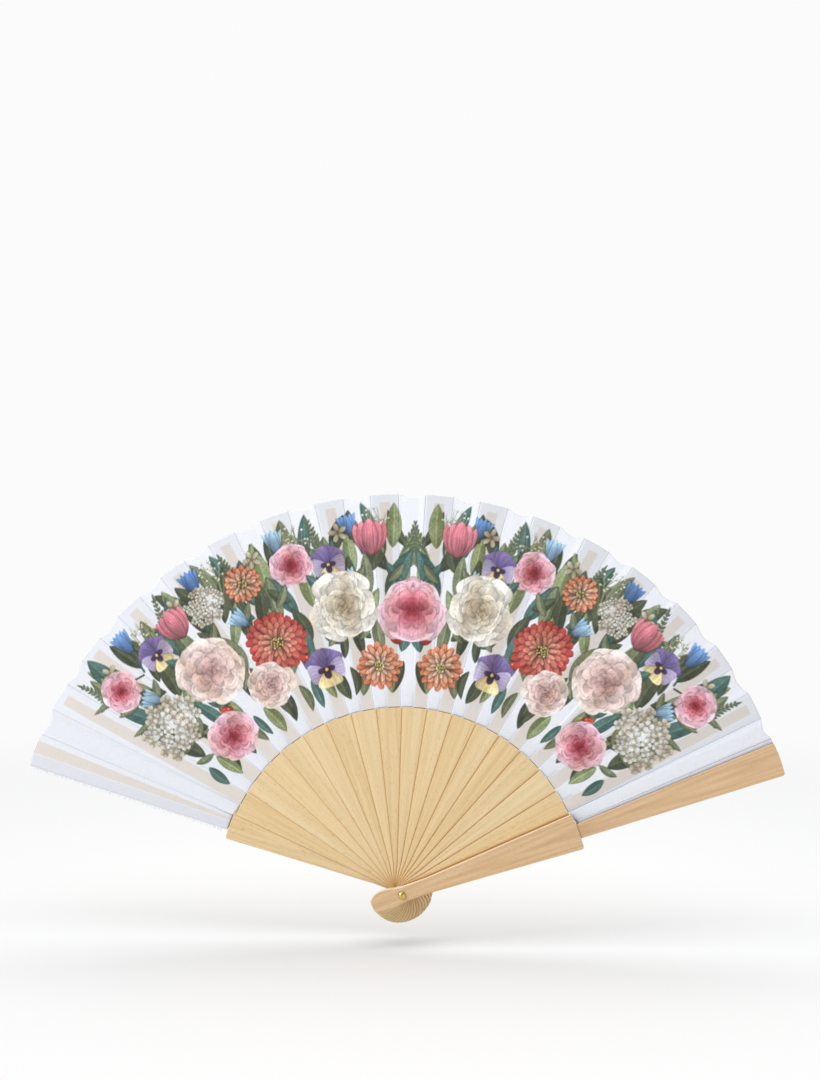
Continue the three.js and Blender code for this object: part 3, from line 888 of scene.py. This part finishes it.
def cloth_material():
    """Printed cotton: fine plain weave, slubs and a soft sheen, with painted shade in the valleys between
    pleats.
    """
    n = Nodes("leaf_cloth")
    place = n.add("TexCoord").outputs["Object"]
    thread = 2 * math.pi / 0.00042
    split = n.add("SeparateXYZ", {0: place})
    warp = n.math("SINE", n.math("MULTIPLY", split.outputs["X"], thread))
    weft = n.math("SINE", n.math("MULTIPLY", split.outputs["Z"], thread))
    weave = n.math("MULTIPLY", warp, weft)
    slubs = n.grain(place, (260, 260, 1500), 2)
    cross = n.grain(place, (1500, 260, 260), 2)
    threads = n.math("ADD", slubs, cross)
    crumple = n.noise(place, 60.0, 3, 0.55)
    painted = n.add("VertexColor", layer_name="print").outputs["Color"]
    tone = n.ramp(threads, (0.7, grey(0.95)), (1.0, grey(1.0)))
    colour = n.mix(1.0, painted, tone, "MULTIPLY")
    # Painted shade: the print is darkened where a neighbouring pleat lies close, in the valleys between
    # pleats.
    valley_shade = n.add("AmbientOcclusion", {"Distance": PLEAT_REACH}, samples=8).outputs["AO"]
    colour = n.mix(1.0, colour, n.ramp(valley_shade, (0.55, linear("c2c6d0")), (0.97, grey(1.0))), "MULTIPLY")
    height = n.math("ADD", n.math("MULTIPLY", weave, 0.25), n.math("MULTIPLY", threads, 0.7))
    rough = n.ramp(threads, (0.6, grey(0.95)), (1.3, grey(0.78)))
    normal = n.bump(n.math("ADD", height, n.math("MULTIPLY", crumple, 1.0)), 0.3, 0.00012)
    return n.surface(Base_Color=colour, Roughness=rough, Normal=normal,
                     Sheen_Weight=0.15, Sheen_Roughness=0.5)


CONTACT_REACH = 0.0022  # metres from a neighbouring stick within which the wood is darkened, as painted shade


def wood_material(name, pale, middle, dark, edge, cathedral):
    """Sawn and sanded wood, its grain along the stick, with painted shade in hollow corners and near
    neighbouring sticks and painted highlights on sharp edges and sides. Each stick carries its own turn and
    seed. edge is the colour of the painted highlight on the sides.
    """
    n = Nodes(name)
    turn = n.add("Attribute", attribute_type="OBJECT", attribute_name="stick_turn").outputs["Fac"]
    seed = n.add("Attribute", attribute_type="OBJECT", attribute_name="stick_seed").outputs["Fac"]
    place = n.add("TexCoord").outputs["Object"]
    turned_back = {"Vector": place, "Angle": n.math("MULTIPLY", turn, -1.0)}
    upright = n.add("VectorRotate", turned_back, rotation_type="Y_AXIS").outputs[0]
    apart = {"X": n.math("MULTIPLY", seed, 0.37), "Y": seed, "Z": n.math("MULTIPLY", seed, 0.61)}
    shift = n.add("CombineXYZ", apart).outputs[0]
    own = n.add("VectorMath", {0: upright, 1: shift}, operation="ADD").outputs[0]
    split = n.add("SeparateXYZ", {0: upright})
    fine = n.grain(own, (2600, 900, 28), 3, 0.6)
    broad = n.grain(own, (420, 260, 11), 3, 0.55, 0.3)
    pores = n.grain(own, (3400, 2000, 420), 1)
    if cathedral:
        arch = n.math("MULTIPLY", n.math("POWER", n.math("ABSOLUTE", split.outputs["X"]), 2.0), 1500.0)
        ring = n.math("ADD", n.math("MULTIPLY", split.outputs["Z"], -9.0), n.math("MULTIPLY", arch, 12.0))
        wavy = n.math("SINE", n.math("MULTIPLY", n.math("ADD", ring, n.math("MULTIPLY", broad, 0.5)), 14.0))
        broad = n.math("ADD", n.math("MULTIPLY", broad, 0.7), n.math("MULTIPLY", wavy, 0.09))
    tone = n.math("ADD", n.math("MULTIPLY", broad, 0.75), n.math("MULTIPLY", fine, 0.25))
    colour = n.ramp(tone, (0.22, linear(dark)), (0.5, linear(middle)), (0.78, linear(pale)))
    own_tone = n.noise(n.add("CombineXYZ", {"X": n.math("MULTIPLY", seed, 7.3)}).outputs[0], 1.0, 0)
    colour = n.mix(1.0, colour, n.ramp(own_tone, (0.3, linear("f7f2e9")), (0.7, grey(1.0))), "MULTIPLY")
    flecks = n.ramp(pores, (0.28, linear("b58a55")), (0.36, grey(1.0)))
    colour = n.mix(0.35, colour, flecks, "MULTIPLY")
    # Painted shade and highlight: darker in hollow corners, lighter along sharp outer edges.
    corners = n.add("NewGeometry").outputs["Pointiness"]
    corner_shade_and_edge_highlight = n.ramp(corners, (0.44, linear("c9a377")), (0.5, grey(1.0)), (0.56, linear("fff6e4")))
    colour = n.mix(0.5, colour, corner_shade_and_edge_highlight, "MULTIPLY")
    # Painted highlight: sides and eased edges, which face away from the front, are mixed towards the light
    # edge colour.
    normal = n.add("NewGeometry").outputs["Normal"]
    facing = n.math("ABSOLUTE", n.add("SeparateXYZ", {0: normal}).outputs["Y"])
    colour = n.mix(n.ramp(facing, (0.6, grey(0.6)), (0.97, grey(0.0))), colour, linear(edge))
    # Painted shade: darker where a neighbouring stick lies close, for the thin shadows between sticks.
    near = n.add("AmbientOcclusion", {"Distance": CONTACT_REACH}, samples=8).outputs["AO"]
    contact_shade = n.ramp(near, (0.42, linear("8d6535")), (0.6, linear("d9b98a")), (0.86, grey(1.0)))
    colour = n.mix(1.0, colour, contact_shade, "MULTIPLY")
    rough = n.ramp(fine, (0.3, grey(0.62)), (0.7, grey(0.46)))
    height = n.math("ADD", n.math("MULTIPLY", fine, 0.6), n.math("MULTIPLY", pores, 0.5))
    relief = n.bump(height, 0.25, 0.00008)
    return n.surface(Base_Color=colour, Roughness=rough, Normal=relief, Specular_IOR_Level=0.35)


def brass_material():
    """Polished brass, with fine scratches and dulled spots."""
    n = Nodes("rivet_brass")
    place = n.add("TexCoord").outputs["Object"]
    scratch = n.grain(place, (900, 900, 9000), 2)
    dull = n.noise(place, 700.0, 3)
    colour = n.ramp(dull, (0.35, linear("c9a94f")), (0.6, linear("ecd98c")))
    worn = n.math("ADD", n.math("MULTIPLY", scratch, 0.5), n.math("MULTIPLY", dull, 0.5))
    rough = n.ramp(worn, (0.4, grey(0.18)), (0.65, grey(0.38)))
    return n.surface(Base_Color=colour, Roughness=rough, Metallic=1.0, Normal=n.bump(scratch, 0.12, 0.00003))


def dress_node(node, material, turn, seed, edge):
    """Gives a CAD node its finish, with its sharp edges eased."""
    node["stick_turn"], node["stick_seed"] = math.radians(turn), float(seed)
    node.data.materials.clear()
    node.data.materials.append(material)
    weld = node.modifiers.new("weld", "WELD")
    weld.merge_threshold = 1e-6
    ease = node.modifiers.new("ease", "BEVEL")
    ease.width, ease.segments, ease.limit_method, ease.angle_limit = edge, 2, "ANGLE", math.radians(35)
    ease.harden_normals = False
    node.modifiers.new("normals", "WEIGHTED_NORMAL").keep_sharp = False
    node.data.polygons.foreach_set("use_smooth", np.ones(len(node.data.polygons), bool))


# ---- the studio, in metres ----
FLOOR_DROP = 0.01121  # from the fan's lowest point down to the floor
FLOOR_LEVEL, FLOOR_REACH = cad_bounds[0][2] - FLOOR_DROP, 8.0
FLOOR_ALBEDO, FLOOR_GLOW = 0.5, 0.3
FADE_START, FADE_END = 0.25, 0.8  # distances over which the floor becomes the backdrop
BACKDROP = 0.965
WORLD_LIGHT = 0.33
CAMERA_RIGHT, CAMERA_AWAY = 0.0042, 0.603  # from the rivet's axis, and from the front guard's face
CAMERA_DROP = 0.02449  # below the fan's highest point
LENS, SENSOR = 38.0, 36.0
FAN_MIDDLE = (0, 0, 0.1)


def area_light(name, place, target, size, power, lit):
    """A soft oval light of a width and a depth, which lights one collection."""
    lamp = bpy.data.lights.new(name, "AREA")
    lamp.shape, lamp.energy = "ELLIPSE", power
    lamp.size, lamp.size_y = size
    holder = bpy.data.objects.new(name, lamp)
    bpy.context.scene.collection.objects.link(holder)
    holder.location = place
    holder.rotation_euler = (Vector(target) - Vector(place)).to_track_quat("-Z", "Y").to_euler()
    holder.light_linking.receiver_collection = lit


def collection_of(name, objects):
    group = bpy.data.collections.new(name)
    for o in objects:
        group.objects.link(o)
    return group


def studio_floor():
    """A pale floor that fades into the backdrop, so that no horizon shows."""
    mesh = bpy.data.meshes.new("studio_floor")
    signs = ((-1, -1), (1, -1), (1, 1), (-1, 1))
    corners = [(x * FLOOR_REACH, y * FLOOR_REACH, FLOOR_LEVEL) for x, y in signs]
    mesh.from_pydata(corners, [], [(0, 1, 2, 3)])
    floor = bpy.data.objects.new("studio_floor", mesh)
    bpy.context.scene.collection.objects.link(floor)
    n = Nodes("studio_floor")
    pale = n.add("BsdfDiffuse", {"Color": grey(FLOOR_ALBEDO)})
    glow = n.add("Emission", {"Color": grey(1.0), "Strength": FLOOR_GLOW})
    near = n.add("AddShader", {0: pale.outputs[0], 1: glow.outputs[0]})
    far = n.add("Emission", {"Color": grey(BACKDROP), "Strength": 1.0})
    away = n.add("VectorMath", {0: n.add("TexCoord").outputs["Object"]}, operation="LENGTH").outputs["Value"]
    span = {"Value": away, "From Min": FADE_START, "From Max": FADE_END}
    fade = n.add("MapRange", span, interpolation_type="SMOOTHSTEP")
    blend = n.add("MixShader", {0: fade.outputs["Result"], 1: near.outputs[0], 2: far.outputs[0]})
    n.tree.links.new(blend.outputs[0], n.tree.nodes["Material Output"].inputs["Surface"])
    mesh.materials.append(n.material)
    floor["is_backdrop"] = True
    return floor


def studio():
    scene = bpy.context.scene
    scene.view_settings.view_transform = "Standard"
    scene.world = bpy.data.worlds.new("studio")
    scene.world.use_nodes = True
    tree = scene.world.node_tree
    light = tree.nodes["Background"]
    light.inputs["Color"].default_value = (0.97, 0.985, 1.0, 1.0)
    light.inputs["Strength"].default_value = WORLD_LIGHT
    seen = tree.nodes.new("ShaderNodeBackground")
    seen.inputs["Color"].default_value = grey(BACKDROP)
    path, choose = tree.nodes.new("ShaderNodeLightPath"), tree.nodes.new("ShaderNodeMixShader")
    tree.links.new(path.outputs["Is Camera Ray"], choose.inputs[0])
    tree.links.new(light.outputs[0], choose.inputs[1])
    tree.links.new(seen.outputs[0], choose.inputs[2])
    tree.links.new(choose.outputs[0], tree.nodes["World Output"].inputs["Surface"])
    fan = collection_of("fan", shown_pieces())
    ground = collection_of("ground", [studio_floor()])
    area_light("key", (-1.15, -0.75, 1.05), FAN_MIDDLE, (0.4, 0.4), 21.0, fan)
    area_light("fill", (1.1, -1.2, 0.5), FAN_MIDDLE, (1.2, 1.2), 2.0, fan)
    area_light("top", (0.0, 0.0, 1.2), FAN_MIDDLE, (0.6, 0.6), 2.5, fan)
    area_light("floor_light", (0.0, -0.01, 1.1), (0, -0.01, 0.0), (2.2, 1.3), 21.5, ground)
    area_light("back", (-0.9, 1.2, 0.9), FAN_MIDDLE, (0.8, 0.8), 12.0, fan)


def photo_camera():
    """A level camera in front of the fan, a little below the leaf's highest point."""
    lens = bpy.data.cameras.new("camera")
    lens.lens, lens.sensor_width = LENS, SENSOR
    lens.clip_start = 0.01
    holder = bpy.data.objects.new("camera", lens)
    bpy.context.scene.collection.objects.link(holder)
    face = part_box("front_guard")[0].y
    holder.location = (CAMERA_RIGHT, face - CAMERA_AWAY, cad_bounds[1][2] - CAMERA_DROP)
    holder.rotation_euler = (math.radians(90), 0, 0)
    bpy.context.scene.camera = holder


CLOTH = cloth_material()
RIB_EASE, GUARD_EASE, RIVET_EASE = 0.00013, 0.0004, 0.00012  # how far the sharp edges are eased, in metres
RIB_SEED, BACK_SEED, FRONT_SEED = 1.7, 40.3, 51.9  # each stick's own place in the wood's grain
# The ribs' pale, middle and dark wood, then the colour of the painted highlight on their sides.
RIB_TONES = ("f3e2c0", "ead4aa", "dbc092", "f6e8cc")
rib_wood = wood_material("rib_wood", *RIB_TONES, False)
back_guard_wood = wood_material("back_guard_wood", *RIB_TONES, True)
# The front guard's pale, middle and dark wood, then the colour of the painted highlight on its sides.
guard_wood = wood_material("guard_wood", "edd5b2", "e3c6a1", "d2ae86", "f6e6d6", True)
brass = brass_material()
for name, node in frame["nodes"].items():
    if name.startswith("rib_"):
        k = int(name[-2:])
        dress_node(node, rib_wood, TURNS[k], RIB_SEED * k, RIB_EASE)
    elif name.startswith("rivet"):
        dress_node(node, brass, 0.0, 0.0, RIVET_EASE)
dress_node(frame["nodes"]["back_guard"], back_guard_wood, TURNS[0], BACK_SEED, GUARD_EASE)
dress_node(frame["nodes"]["front_guard"], guard_wood, TURNS[LAST], FRONT_SEED, GUARD_EASE)

canvas = paint_print()
fray = np.random.default_rng(SEED + 1)
for k in range(LAST + 1):
    glued_pleat(canvas, k, fray)
for k in range(LAST):
    free_pleat(canvas, k)
frayed_edge(fray)
studio()
photo_camera()
